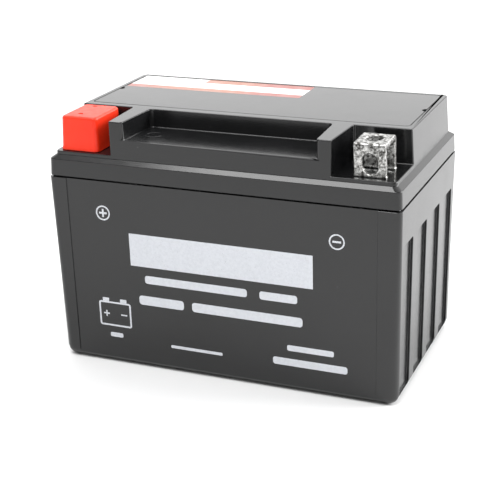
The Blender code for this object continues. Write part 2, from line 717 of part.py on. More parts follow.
def build_separator(name, cell, finish):
    """Glass mat folded to and fro between the plates, as one sheet."""
    places, layer = stack_places()
    half = (layer - 2.0 * GAP) / 2.0
    edges = []
    for index in range(len(places) - 1):
        x = (places[index][2] + places[index + 1][1]) / 2.0
        run = 1.0 if index % 2 == 0 else -1.0
        for end in (-run, run):
            y = end * (SHEET_HALF_DEPTH - half)
            edges.append(((x + run * half, y - run * half), (x - run * half, y + run * half)))
    reach = SHEET_HALF_DEPTH
    edges[0] = tuple((x, -reach) for x, y in edges[0])
    last_end = reach if len(places) % 2 == 0 else -reach
    edges[-1] = tuple((x, last_end) for x, y in edges[-1])

    mesh = bmesh.new()
    sections = []
    for right, left in edges:
        corners = (
            (*right, SHEET_BOTTOM),
            (*right, SHEET_TOP),
            (*left, SHEET_TOP),
            (*left, SHEET_BOTTOM),
        )
        sections.append([mesh.verts.new((x * MM, y * MM, z * MM)) for x, y, z in corners])
    for near, far in zip(sections, sections[1:]):
        for index in range(4):
            following = (index + 1) % 4
            mesh.faces.new((near[index], near[following], far[following], far[index]))
    mesh.faces.new(list(reversed(sections[0])))
    mesh.faces.new(sections[-1])
    sheet = make_object(name, mesh, finish)
    sheet.location = (cell_left(cell) * MM, 0.0, 0.0)
    return sheet


def link_side(link):
    """Links alternate: the first joins the straps at the back, the next at the front."""
    return 1.0 if link % 2 == 0 else -1.0


def build_link(link, finish):
    """Weld through a partition that joins neighbouring straps in series."""
    wall = cell_left(link + 1) - PARTITION / 2.0
    y = link_side(link) * STRAP_Y
    bottom = STRAP_TOP + GAP
    mesh = bmesh.new()
    add_turned_x(mesh, 0.0, 0.0, (bottom + LINK_TOP) / 2.0, LINK_PLUG_RADIUS,
                 PARTITION + 2.0 * GAP + LINK_LUG)
    joint = make_object(f"intercell_link_{link + 1}", mesh, finish, 30.0)
    joint.location = (wall * MM, y * MM, 0.0)

    tool = bmesh.new()
    inner = PARTITION / 2.0 + GAP
    for side in (-1.0, 1.0):
        edges = sorted((side * inner, side * (inner + LINK_LUG)))
        add_box(tool, edges[0], edges[1], -LINK_HALF_WIDTH, LINK_HALF_WIDTH, bottom, LINK_TOP)
    lugs = add_boolean(joint, tool, f"tool_intercell_link_{link + 1}", "UNION")
    lugs.location = joint.location
    return joint


# ---------------------------------------------------------------- assembly
def build_battery():
    black_case = material("black_case_plastic", (0.035, 0.036, 0.038), 0.38)
    black_lid = material("black_lid_plastic", (0.038, 0.039, 0.041), 0.30)
    label_film = material("label_film", (0.86, 0.85, 0.84), 0.35)
    red_plastic = material("red_cap_plastic", (0.85, 0.06, 0.02), 0.38)
    lead = material("tinned_lead", (0.55, 0.55, 0.53), 0.42, 1.0)
    seal_resin = material("seal_resin", (0.06, 0.05, 0.05), 0.5)
    valve_rubber = material("valve_rubber", (0.05, 0.05, 0.05), 0.75)
    positive_paste = material("positive_paste", (0.16, 0.07, 0.04), 0.85)
    negative_paste = material("negative_paste", (0.30, 0.31, 0.33), 0.7)
    glass_mat = material("glass_mat", (0.86, 0.87, 0.86), 0.9)

    build_case(black_case)
    build_lid(black_lid)
    build_cover_plate(black_lid)
    build_label(label_film)
    build_red_cap(red_plastic)
    for word, side in (("positive", -1.0), ("negative", 1.0)):
        build_terminal(f"{word}_terminal", side, lead)
        build_terminal_seal(f"{word}_terminal_seal", side, seal_resin)
        build_post(f"{word}_post", side, lead)
    for cell in range(CELLS):
        build_valve_cap(cell, valve_rubber)
        build_plate_group(f"cell_{cell + 1}_positive_plates", cell, True, positive_paste)
        build_plate_group(f"cell_{cell + 1}_negative_plates", cell, False, negative_paste)
        build_separator(f"cell_{cell + 1}_separator", cell, glass_mat)
    for link in range(CELLS - 1):
        build_link(link, lead)


for old in list(bpy.data.objects):
    bpy.data.objects.remove(old, do_unlink=True)
build_battery()
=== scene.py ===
"""Finished looks for a sealed six-cell motorcycle battery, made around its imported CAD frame.

Lengths in the shape code are millimetres in the frame's own axes: +X along the battery towards
the negative terminal, -Y towards the terminal side (the front), +Z up from the base.
"""

import math
import random

import bmesh
import bpy
from mathutils import Matrix, Vector, noise


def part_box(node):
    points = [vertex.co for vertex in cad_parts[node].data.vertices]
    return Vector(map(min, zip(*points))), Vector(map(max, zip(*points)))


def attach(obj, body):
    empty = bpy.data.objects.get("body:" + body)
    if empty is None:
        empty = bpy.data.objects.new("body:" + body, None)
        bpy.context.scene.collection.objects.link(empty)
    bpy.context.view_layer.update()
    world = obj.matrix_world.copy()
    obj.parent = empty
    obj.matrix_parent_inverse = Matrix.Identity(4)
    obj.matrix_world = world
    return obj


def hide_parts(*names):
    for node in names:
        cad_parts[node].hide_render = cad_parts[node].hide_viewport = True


MM = 0.001

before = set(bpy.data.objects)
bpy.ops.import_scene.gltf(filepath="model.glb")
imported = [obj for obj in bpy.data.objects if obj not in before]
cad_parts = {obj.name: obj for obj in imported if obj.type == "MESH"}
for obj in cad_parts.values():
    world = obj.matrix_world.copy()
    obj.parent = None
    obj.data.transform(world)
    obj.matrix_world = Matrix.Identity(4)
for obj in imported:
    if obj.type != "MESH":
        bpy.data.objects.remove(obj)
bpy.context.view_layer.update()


def box_mm(node):
    """Left, right, front, back, bottom and top of a CAD node, in millimetres."""
    low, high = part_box(node)
    return [edge / MM for edge in (low.x, high.x, low.y, high.y, low.z, high.z)]


# ---------------------------------------------------------------- dimensions
_, HALF_LENGTH, _, HALF_WIDTH, _, CASE_TOP = box_mm("case")
LID_BOTTOM, HEIGHT = box_mm("lid")[4:]
PLATE_LEFT, PLATE_RIGHT, PLATE_FRONT, PLATE_BACK, PLATE_BOTTOM, _ = box_mm("top_cover_plate")
LABEL_LEFT, LABEL_RIGHT, LABEL_FRONT, LABEL_BACK, LABEL_BOTTOM, LABEL_TOP = box_mm("top_label")
CAP_LEFT, CAP_RIGHT, CAP_FRONT, CAP_BACK, CAP_BOTTOM, CAP_TOP = box_mm("red_terminal_cap")
TERMINAL_LEFT, TERMINAL_RIGHT, TERMINAL_FRONT, TERMINAL_BACK, TERMINAL_BASE, TERMINAL_TOP = box_mm(
    "negative_terminal")

GAP = 0.3                       # play between parts that fit into each other

CASE_DRAFT = 0.6                # each side, from the seam down to the base
BASE_ROUND = 4.0
MOULD_STEP = 0.22               # the base stands back this much below the mould's split line
MOULD_STEP_Z = 4.0
CORNER_TOP = 2.4
RIM_BREAK = 0.1                 # small break around the container's rim
CORNER_BASE = 4.4
PANEL_LEFT = -66.9
PANEL_RIGHT = 65.9
PANEL_DEPTH = 0.45
GROOVE_COUNT = 4
GROOVE_WIDTH = 13.8
GROOVE_PITCH = 20.6
GROOVE_OFFSET = -1.2
GROOVE_TOP = 66.1
GROOVE_FOOT = 3.2
GROOVE_DEPTH = 1.1
GROOVE_LEDGE_INSET = 0.15

CELLS = 6
CELL_HALF_LENGTH = 71.0
CELL_HALF_DEPTH = 40.5
PARTITION = 1.5
CASE_FLOOR = 3.0
LINK_HOLE_RADIUS = 3.3
LINK_HOLE_Z = 76.9
LINK_HOLE_Y = 28.0
CELL_WIDTH = (2.0 * CELL_HALF_LENGTH - (CELLS - 1) * PARTITION) / CELLS

FLANGE_TOP = 88.9
CHAMFER_TOP = 90.5
FLANGE_INSET = 0.5
CHAMFER_INSET = 2.7
BLOCK_TOP_INSET = 3.6
FRONT_INSET = 2.4
NOTCH_FLOOR = 92.0
NOTCH_BACK = -16.9
NOTCH_SIDE_FRONT = 46.6
NOTCH_SIDE_BACK = 47.9
NOTCH_UNDERSIDE = 90.0
TRAY_FLOOR = 98.4
TRAY_BACK = -17.6
TRAY_SIDE_FRONT = 40.8
TRAY_SIDE_BACK = 39.8
TRAY_MOUTH_ROUND = 2.0
TRAY_UNDERSIDE = 96.2
HEADSPACE_TOP = 88.2
CHAMBER_MARGIN = 1.8
CHAMBER_FLOOR = 90.5
NECK_RADIUS = 6.0
NECK_BORE = 4.0
NECK_TOP = 101.2
PRY_NOTCH_RADIUS = 1.6
VALVE_Y = (PLATE_FRONT + PLATE_BACK) / 2.0

TERMINAL_X = (TERMINAL_LEFT + TERMINAL_RIGHT) / 2.0
TERMINAL_WALL = 2.0
BOLT_HOLE_RADIUS = 3.2
BOLT_SLOT_HEIGHT = 8.2
BOLT_SLOT_Z = 97.2

INK = 0.035                     # how far the ink's face stands out from the panel
INK_BACK = 0.004                # how far the ink's back stands out, so that the faces don't meet

SEAM_FACE_INSET = 0.9           # the weld bead's crest, in from the case's outline
SEAM_EDGE_INSET = 1.0
SEAM_BACK_INSET = 2.9
SEAM_CLEARANCE = 0.03
FLASH_BEADS = 26
FLASH_INSET = 0.72

BRACKET_SIDE_LEAN = 0.45        # towards -X at the top
NEGATIVE_BACK_LEAN = 1.0
NEGATIVE_RISE = 0.6
BRACKET_PLAIN_FOOT = 0.2        # lumps and lean start this far above the notch floor
CAST_VOXEL = 0.26               # rounds the bracket's edges as casting and dipping do

LABEL_FRONT_BAND = 5.0
LABEL_BACK_BAND = 6.0
LABEL_BACK_BAND_LEFT = -37.0

SHARP_EDGE = 28.0               # degrees; flatter edges aren't bevelled
FLAT_ANGLE = 0.4                # degrees; faces that turn less are merged
BLACK = (0.008, 0.0082, 0.0086)

CAMERA_PLACE = (0.1871, -0.4546, 0.2304)    # metres
CAMERA_YAW = 22.81              # this angle and the next two are degrees
CAMERA_PITCH = 20.96
CAMERA_ROLL = -1.56
CAMERA_LENS = 87.69


# ---------------------------------------------------------------- camera and light
def place_camera():
    yaw, pitch, roll = (math.radians(angle) for angle in (CAMERA_YAW, CAMERA_PITCH, CAMERA_ROLL))
    forward = Vector((-math.sin(yaw) * math.cos(pitch), math.cos(yaw) * math.cos(pitch), -math.sin(pitch)))
    level = Vector((math.cos(yaw), math.sin(yaw), 0.0))
    upright = level.cross(forward)
    right = math.cos(roll) * level + math.sin(roll) * upright
    up = -math.sin(roll) * level + math.cos(roll) * upright
    data = bpy.data.cameras.new("camera")
    data.lens = CAMERA_LENS
    data.sensor_width = 36.0
    data.clip_start = 0.05
    data.clip_end = 20.0
    camera = bpy.data.objects.new("camera", data)
    turn = Matrix((right, up, -forward)).transposed().to_4x4()
    camera.matrix_world = Matrix.Translation(CAMERA_PLACE) @ turn
    bpy.context.scene.collection.objects.link(camera)
    bpy.context.scene.camera = camera


def add_softbox(name, place, target, width, depth, watts):
    data = bpy.data.lights.new(name, "AREA")
    data.shape = "RECTANGLE"
    data.size = width
    data.size_y = depth
    data.energy = watts
    light = bpy.data.objects.new(name, data)
    light.location = place
    light.rotation_euler = (Vector(target) - Vector(place)).to_track_quat("-Z", "Y").to_euler()
    bpy.context.scene.collection.objects.link(light)


def light_world(front, back):
    """White surroundings, brighter behind the battery than in front of it."""
    world = bpy.data.worlds.new("studio")
    world.use_nodes = True
    tree = world.node_tree
    background = tree.nodes["Background"]
    background.inputs["Color"].default_value = (1.0, 1.0, 1.0, 1.0)
    coordinates = tree.nodes.new("ShaderNodeTexCoord")
    split = tree.nodes.new("ShaderNodeSeparateXYZ")
    spread = tree.nodes.new("ShaderNodeMapRange")
    spread.interpolation_type = "SMOOTHSTEP"
    spread.inputs["From Min"].default_value = -0.25
    spread.inputs["From Max"].default_value = 0.75
    spread.inputs["To Min"].default_value = front
    spread.inputs["To Max"].default_value = back
    tree.links.new(coordinates.outputs["Generated"], split.inputs[0])
    tree.links.new(split.outputs["Y"], spread.inputs["Value"])
    tree.links.new(spread.outputs["Result"], background.inputs["Strength"])
    bpy.context.scene.world = world


def light_studio():
    light_world(0.40, 1.75)
    add_softbox("overhead", (-0.13, -0.33, 0.95), (-0.10, -0.20, 0.0), 0.7, 0.5, 9.0)
    add_softbox("backlight", (1.25, 0.75, 0.65), (0.30, 0.25, 0.0), 1.2, 0.8, 36.0)
    bpy.context.scene.view_settings.view_transform = "Standard"


# ---------------------------------------------------------------- materials
def add_node(tree, kind, values):
    """Make a node; each value is a number, a colour or the socket that feeds that input."""
    made = tree.nodes.new(kind)
    for name, value in values.items():
        socket = made.inputs[name]
        if isinstance(value, bpy.types.NodeSocket):
            tree.links.new(value, socket)
        else:
            socket.default_value = value
    return made


def new_material(name):
    made = bpy.data.materials.new(name)
    made.use_nodes = True
    tree = made.node_tree
    places = tree.nodes.new("ShaderNodeTexCoord").outputs["Object"]
    return made, tree, tree.nodes["Principled BSDF"], places


def grain(tree, places, scale, detail=3.0, roughness=0.5, stretch=None):
    """Noise from 0 to 1. The scale is in features per metre."""
    if stretch is not None:
        places = add_node(tree, "ShaderNodeMapping", {"Vector": places, "Scale": stretch}).outputs[0]
    made = add_node(tree, "ShaderNodeTexNoise",
                    {"Vector": places, "Scale": scale, "Detail": detail, "Roughness": roughness})
    return made.outputs["Fac"]


def spread(tree, value, low, high, to_low=0.0, to_high=1.0):
    """Map a value's stretch from low to high onto another range, clamped."""
    return add_node(tree, "ShaderNodeMapRange", {
        "Value": value, "From Min": low, "From Max": high, "To Min": to_low, "To Max": to_high}).outputs[0]


def arithmetic(tree, operation, first, second=0.0):
    made = tree.nodes.new("ShaderNodeMath")
    made.operation = operation
    for socket, value in zip(made.inputs, (first, second)):
        if isinstance(value, bpy.types.NodeSocket):
            tree.links.new(value, socket)
        else:
            socket.default_value = value
    return made.outputs[0]


def blend_colour(tree, factor, first, second):
    made = tree.nodes.new("ShaderNodeMix")
    made.data_type = "RGBA"
    for socket, value in ((made.inputs[0], factor), (made.inputs[6], first), (made.inputs[7], second)):
        if isinstance(value, bpy.types.NodeSocket):
            tree.links.new(value, socket)
        elif isinstance(value, tuple):
            socket.default_value = (*value, 1.0)
        else:
            socket.default_value = value
    return made.outputs[2]


def bump(tree, heights, previous=None):
    """Bump from a height in metres."""
    values = {"Height": heights, "Distance": 1.0, "Strength": 1.0}
    if previous is not None:
        values["Normal"] = previous
    return add_node(tree, "ShaderNodeBump", values).outputs[0]


def scaled(tree, value, millimetres):
    """Height of a noise, centred on zero, in metres."""
    return arithmetic(tree, "MULTIPLY", arithmetic(tree, "SUBTRACT", value, 0.5), millimetres * MM)


def finish_shader(tree, shader, colour=None, roughness=None, normal=None):
    for name, socket in (("Base Color", colour), ("Roughness", roughness), ("Normal", normal)):
        if socket is not None:
            tree.links.new(socket, shader.inputs[name])


def black_plastic(name, shade, gloss, grain_height):
    """Moulded black polypropylene: fine spark grain, sink waves, mottling and a little dust."""
    made, tree, shader, places = new_material(name)
    broad = grain(tree, places, 28.0, 2.0)
    middle = grain(tree, places, 260.0, 4.0, 0.6)
    fine = grain(tree, places, 2600.0, 2.0)
    tone = arithmetic(tree, "ADD", arithmetic(tree, "MULTIPLY", broad, 0.6),
                      arithmetic(tree, "MULTIPLY", middle, 0.4))
    dark = tuple(channel * 0.8 for channel in shade)
    light = tuple(channel * 1.2 for channel in shade)
    colour = blend_colour(tree, spread(tree, tone, 0.35, 0.65), dark, light)
    specks = add_node(tree, "ShaderNodeTexVoronoi", {"Vector": places, "Scale": 420.0, "Randomness": 1.0})
    dust = arithmetic(tree, "MULTIPLY", spread(tree, specks.outputs["Distance"], 0.04, 0.09, 1.0, 0.0),
                      spread(tree, middle, 0.62, 0.68))
    colour = blend_colour(tree, arithmetic(tree, "MULTIPLY", dust, 0.5), colour, (0.16, 0.16, 0.16))
    rough = arithmetic(tree, "ADD", spread(tree, tone, 0.35, 0.65, gloss - 0.03, gloss + 0.04),
                       arithmetic(tree, "MULTIPLY", dust, 0.3))
    waves = bump(tree, scaled(tree, grain(tree, places, 24.0, 1.0), 0.06))
    normal = bump(tree, scaled(tree, fine, grain_height), waves)
    finish_shader(tree, shader, colour, rough, normal)
    shader.inputs["IOR"].default_value = 1.5
    return made


def red_plastic():
    """Soft red PVC: satin, with faint flow marks."""
    made, tree, shader, places = new_material("red_soft_plastic")
    flow = grain(tree, places, 90.0, 3.0, 0.5, (1.0, 1.0, 0.25))
    fine = grain(tree, places, 3000.0, 2.0)
    colour = blend_colour(tree, spread(tree, flow, 0.3, 0.7), (0.90, 0.028, 0.005), (0.97, 0.040, 0.008))
    rough = spread(tree, grain(tree, places, 300.0, 3.0), 0.3, 0.7, 0.34, 0.44)
    normal = bump(tree, scaled(tree, fine, 0.006), bump(tree, scaled(tree, flow, 0.05)))
    finish_shader(tree, shader, colour, rough, normal)
    shader.inputs["IOR"].default_value = 1.42
    return made


def tinned_lead():
    """Dipped lead alloy: bright and dull patches, casting pits and drag lines."""
    made, tree, shader, places = new_material("dipped_lead")
    patches = grain(tree, places, 760.0, 5.0, 0.7)
    pits = grain(tree, places, 1100.0, 3.0, 0.6)
    drags = grain(tree, places, 900.0, 2.0, 0.5, (1.0, 1.0, 0.25))
    colour = blend_colour(tree, spread(tree, patches, 0.40, 0.58), (0.055, 0.052, 0.048), (0.58, 0.58, 0.565))
    dull = spread(tree, pits, 0.30, 0.46, 1.0, 0.0)
    colour = blend_colour(tree, arithmetic(tree, "MULTIPLY", dull, 0.6), colour, (0.03, 0.028, 0.025))
    rough = spread(tree, patches, 0.40, 0.62, 0.50, 0.24)
    normal = bump(tree, scaled(tree, patches, 0.16), bump(tree, scaled(tree, pits, 0.10)))
    normal = bump(tree, scaled(tree, drags, 0.05), normal)
    finish_shader(tree, shader, colour, rough, normal)
    shader.inputs["Metallic"].default_value = 1.0
    return made


def label_film():
    """Glossy white sticker with a coral band along its front and along the right of its back edge."""
    made, tree, shader, places = new_material("label_film_print")
    split = add_node(tree, "ShaderNodeSeparateXYZ", {"Vector": places})
    across = split.outputs["X"]
    deep = split.outputs["Y"]
    front_band = arithmetic(tree, "LESS_THAN", deep, (LABEL_FRONT + LABEL_FRONT_BAND) * MM)
    back_band = arithmetic(tree, "GREATER_THAN", deep, (LABEL_BACK - LABEL_BACK_BAND) * MM)
    right_part = arithmetic(tree, "GREATER_THAN", across, LABEL_BACK_BAND_LEFT * MM)
    bands = arithmetic(tree, "MAXIMUM", front_band, arithmetic(tree, "MULTIPLY", back_band, right_part))
    rose_to_peach = spread(tree, across, -66.0 * MM, -45.0 * MM)
    peach_to_coral = spread(tree, across, -18.0 * MM, -6.0 * MM)
    peach = blend_colour(tree, rose_to_peach, (0.34, 0.12, 0.10), (0.36, 0.14, 0.09))
    coral = blend_colour(tree, peach_to_coral, peach, (0.32, 0.080, 0.065))
    mottle = spread(tree, grain(tree, places, 160.0, 3.0), 0.3, 0.7, 0.0, 0.12)
    coral = blend_colour(tree, mottle, coral, (0.45, 0.40, 0.38))
    paper = blend_colour(tree, grain(tree, places, 700.0, 3.0), (0.70, 0.70, 0.70), (0.80, 0.80, 0.79))
    colour = blend_colour(tree, bands, paper, coral)
    rough = spread(tree, grain(tree, places, 220.0, 3.0), 0.3, 0.7, 0.28, 0.42)
    normal = bump(tree, scaled(tree, grain(tree, places, 1500.0, 2.0), 0.006),
                  bump(tree, scaled(tree, grain(tree, places, 60.0, 1.0), 0.05)))
    finish_shader(tree, shader, colour, rough, normal)
    return made


def print_ink():
    """Screen-printed off-white ink with pinholes and a slightly uneven lay."""
    made, tree, shader, places = new_material("screen_print_ink")
    lay = grain(tree, places, 900.0, 4.0, 0.6)
    holes = spread(tree, grain(tree, places, 2600.0, 2.0), 0.27, 0.33, 1.0, 0.0)
    colour = blend_colour(tree, spread(tree, lay, 0.35, 0.65), (0.60, 0.62, 0.66), (0.66, 0.68, 0.72))
    colour = blend_colour(tree, arithmetic(tree, "MULTIPLY", holes, 0.35), colour, (0.08, 0.08, 0.085))
    rough = spread(tree, lay, 0.35, 0.65, 0.45, 0.6)
    normal = bump(tree, scaled(tree, lay, 0.02))
    finish_shader(tree, shader, colour, rough, normal)
    return made


def plain_stock(name, dark, light, scale, rough_low, rough_high, height, stretch=None):
    """Two-tone granular stock for the inner pieces, with matching roughness and bump."""
    made, tree, shader, places = new_material(name)
    patches = grain(tree, places, scale, 5.0, 0.6, stretch)
    fine = grain(tree, places, scale * 6.0, 2.0)
    colour = blend_colour(tree, spread(tree, patches, 0.35, 0.65), dark, light)
    rough = spread(tree, fine, 0.3, 0.7, rough_low, rough_high)
    normal = bump(tree, scaled(tree, fine, height * 0.4), bump(tree, scaled(tree, patches, height)))
    finish_shader(tree, shader, colour, rough, normal)
    return made


# ---------------------------------------------------------------- shape helpers
def arc(centre_u, centre_v, radius, start, end, steps):
    """Points along an arc, both ends included. Angles are degrees."""
    points = []
    for step in range(steps + 1):
        angle = math.radians(start + (end - start) * step / steps)
        points.append((centre_u + radius * math.cos(angle), centre_v + radius * math.sin(angle)))
    return points


def circle(centre_u, centre_v, radius, count):
    """A full circle's points, counter-clockwise."""
    return arc(centre_u, centre_v, radius, 0.0, 360.0 * (count - 1) / count, count - 1)


def rounded_outline(left, right, front, back, radius, steps=8):
    """Counter-clockwise outline of a rectangle with round corners."""
    return (arc(right - radius, back - radius, radius, 0.0, 90.0, steps)
            + arc(left + radius, back - radius, radius, 90.0, 180.0, steps)
            + arc(left + radius, front + radius, radius, 180.0, 270.0, steps)
            + arc(right - radius, front + radius, radius, 270.0, 360.0, steps))


def rounded_path(corners, steps=4):
    """Replace each (u, v, radius) corner of an open path by an arc of that radius."""
    points = []
    for index, (u, v, radius) in enumerate(corners):
        here = Vector((u, v))
        if radius <= 0.0 or index in (0, len(corners) - 1):
            points.append((u, v))
            continue
        before = (Vector(corners[index - 1][:2]) - here).normalized()
        after = (Vector(corners[index + 1][:2]) - here).normalized()
        half = before.angle(after) / 2.0
        reach = radius / math.tan(half)
        centre = here + (before + after).normalized() * (radius / math.sin(half))
        first = here + before * reach - centre
        turn = first.angle_signed(here + after * reach - centre)
        for step in range(steps + 1):
            arm = first.copy()
            arm.rotate(Matrix.Rotation(-turn * step / steps, 2))
            points.append(tuple(centre + arm))
    return points


def add_rings(mesh, rings, close=False):
    """Skin rings of (x, y, z) points in order; cap both ends unless the last joins the first."""
    loops = [[mesh.verts.new([value * MM for value in point]) for point in ring] for ring in rings]
    count = len(loops[0])
    pairs = list(zip(loops, loops[1:]))
    if close:
        pairs.append((loops[-1], loops[0]))
    for lower, upper in pairs:
        for index in range(count):
            following = (index + 1) % count
            mesh.faces.new((lower[index], lower[following], upper[following], upper[index]))
    if not close:
        mesh.faces.new(list(reversed(loops[0])))
        mesh.faces.new(loops[-1])


def add_loft(mesh, rings):
    """Skin (outline, height) rings, lowest first."""
    add_rings(mesh, [[(x, y, height) for x, y in outline] for outline, height in rings])


def add_prism(mesh, outline, bottom, top):
    add_loft(mesh, [(outline, bottom), (outline, top)])


def add_box(mesh, left, right, front, back, bottom, top):
    add_prism(mesh, [(left, front), (right, front), (right, back), (left, back)], bottom, top)


def add_x_prism(mesh, outline, left, right):
    """Prism along X over an outline of (y, z) points."""
    add_rings(mesh, [[(x, y, z) for y, z in outline] for x in (left, right)])


def make_object(name, mesh):
    bmesh.ops.recalc_face_normals(mesh, faces=mesh.faces)
    data = bpy.data.meshes.new(name)
    mesh.to_mesh(data)
    mesh.free()
    made = bpy.data.objects.new(name, data)
    bpy.context.scene.collection.objects.link(made)
    return made


def bake(piece):
    """Apply the piece's modifiers to its mesh."""
    graph = bpy.context.evaluated_depsgraph_get()
    graph.update()
    old = piece.data
    piece.data = bpy.data.meshes.new_from_object(piece.evaluated_get(graph), depsgraph=graph)
    piece.modifiers.clear()
    bpy.data.meshes.remove(old)
    piece.data.name = piece.name


def carve(piece, mesh, operation="DIFFERENCE"):
    """Cut, or join, the piece with a mesh at once."""
    tool = make_object("tool", mesh)
    modifier = piece.modifiers.new("carve", "BOOLEAN")
    modifier.object = tool
    modifier.operation = operation
    modifier.solver = "EXACT"
    bake(piece)
    bpy.data.objects.remove(tool, do_unlink=True)


def clean(piece):
    """Weld stray doubles and merge flat neighbouring faces."""
    mesh = bmesh.new()
    mesh.from_mesh(piece.data)
    bmesh.ops.remove_doubles(mesh, verts=mesh.verts, dist=0.002 * MM)
    bmesh.ops.dissolve_limit(mesh, angle_limit=math.radians(FLAT_ANGLE), verts=mesh.verts, edges=mesh.edges)
    bmesh.ops.recalc_face_normals(mesh, faces=mesh.faces)
    mesh.to_mesh(piece.data)
    mesh.free()


def soften(piece, widest, rule, segments):
    """Bevel edges by the width in millimetres that the rule gives for each edge."""
    mesh = bmesh.new()
    mesh.from_mesh(piece.data)
    weights = mesh.edges.layers.float.new("bevel_weight_edge")
    for edge in mesh.edges:
        if len(edge.link_faces) == 2 and edge.calc_face_angle(0.0) > math.radians(SHARP_EDGE):
            low, high = sorted((vert.co / MM for vert in edge.verts), key=lambda place: place.z)
            edge[weights] = rule(edge, low, high) / widest
    mesh.to_mesh(piece.data)
    mesh.free()
    modifier = piece.modifiers.new("soften", "BEVEL")
    modifier.width = widest * MM
    modifier.segments = segments
    modifier.limit_method = "WEIGHT"
    modifier.use_clamp_overlap = False
    modifier.miter_outer = "MITER_SHARP"
    bake(piece)


def shade(piece, angle=32.0):
    piece.data.shade_smooth()
    piece.data.set_sharp_from_angle(angle=math.radians(angle))
    modifier = piece.modifiers.new("weighted_normals", "WEIGHTED_NORMAL")
    modifier.keep_sharp = True
    modifier.weight = 100


def settle(piece, finish, body, slot, *replaced):
    """Give a finished piece its material and its body, and hide the CAD nodes it stands for. The slot is not
    used.
    """
    piece.data.materials.clear()
    piece.data.materials.append(finish)
    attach(piece, body)
    if replaced:
        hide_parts(*replaced)


def cell_left(cell):
    return -CELL_HALF_LENGTH + cell * (CELL_WIDTH + PARTITION)


def cell_centre(cell):
    return cell_left(cell) + CELL_WIDTH / 2.0


# ---------------------------------------------------------------- container
def wall_draft(z):
    """How far the container's walls stand in from the seam's outline at a height."""
    return CASE_DRAFT * (1.0 - z / CASE_TOP)


def case_ring(z, step):
    drop = max(0.0, BASE_ROUND - z)
    inset = wall_draft(z) + step + BASE_ROUND - math.sqrt(BASE_ROUND ** 2 - drop ** 2)
    blend = min(1.0, z / BASE_ROUND)
    radius = CORNER_TOP + (CORNER_BASE - CORNER_TOP) * (1.0 - z / CASE_TOP) - 2.2 * (1.0 - blend)
    half_x = HALF_LENGTH - inset
    half_y = HALF_WIDTH - inset
    return rounded_outline(-half_x, half_x, -half_y, half_y, radius, 8), z


def add_groove(mesh, side, centre):
    """Pocket with a rolled rim and a filleted floor that follows the drafted end wall."""
    rim = 0.22
    fillet = 0.25
    steps = [(-1.5, rim * 0.8)]
    steps += [(rim - rim * math.cos(math.radians(turn)), rim - rim * math.sin(math.radians(turn)))
              for turn in (12.0, 35.0, 60.0, 90.0)]
    steps += [(GROOVE_DEPTH - fillet + fillet * math.sin(math.radians(turn)),
               -fillet + fillet * math.cos(math.radians(turn))) for turn in (0.0, 30.0, 60.0, 90.0)]
    rings = []
    for depth, grow in steps:
        half = GROOVE_WIDTH / 2.0 + grow
        outline = rounded_outline(centre - half, centre + half, GROOVE_FOOT - grow, GROOVE_TOP + grow,
                                  0.9 + grow, 4)
        rings.append([(side * (HALF_LENGTH - wall_draft(z) - depth), y, z) for y, z in outline])
    if side < 0.0:
        rings = [list(reversed(ring)) for ring in rings]
    add_rings(mesh, rings)


def add_groove_foot(mesh, side, centre):
    """Chamfer between two ribs, from the ledge down to the base."""
    foot = HALF_LENGTH - CASE_DRAFT - GROOVE_LEDGE_INSET
    slope = (foot - (HALF_LENGTH - CASE_DRAFT - BASE_ROUND)) / GROOVE_FOOT
    outside = HALF_LENGTH + 2.0
    above = GROOVE_FOOT + 0.6
    section = ((foot, above), (foot, GROOVE_FOOT), (foot - slope * (GROOVE_FOOT + 1.0), -1.0),
               (outside, -1.0), (outside, above))
    ends = [[(side * x, y, z) for x, z in section]
            for y in (centre - GROOVE_WIDTH / 2.0, centre + GROOVE_WIDTH / 2.0)]
    add_rings(mesh, ends)


def add_panel(mesh, side):
    """Full-height sunk panel in a long face, with a small break on its rim."""
    left, right = (PANEL_LEFT, PANEL_RIGHT) if side < 0.0 else (-PANEL_RIGHT, -PANEL_LEFT)
    outside = 3.0
    section = rounded_path([
        (left - 0.1, outside, 0.0), (left - 0.1, PANEL_DEPTH, 0.0), (left, PANEL_DEPTH - 0.12, 0.0),
        (left, 0.0, 0.1), (right, 0.0, 0.1), (right, PANEL_DEPTH - 0.12, 0.0),
        (right + 0.1, PANEL_DEPTH, 0.0), (right + 0.1, outside, 0.0)])
    rings = []
    for z in (-1.0, CASE_TOP + 1.0):
        plane = HALF_WIDTH - PANEL_DEPTH - wall_draft(z)
        rings.append([(x, side * (plane + out), z) for x, out in section])
    add_rings(mesh, rings)


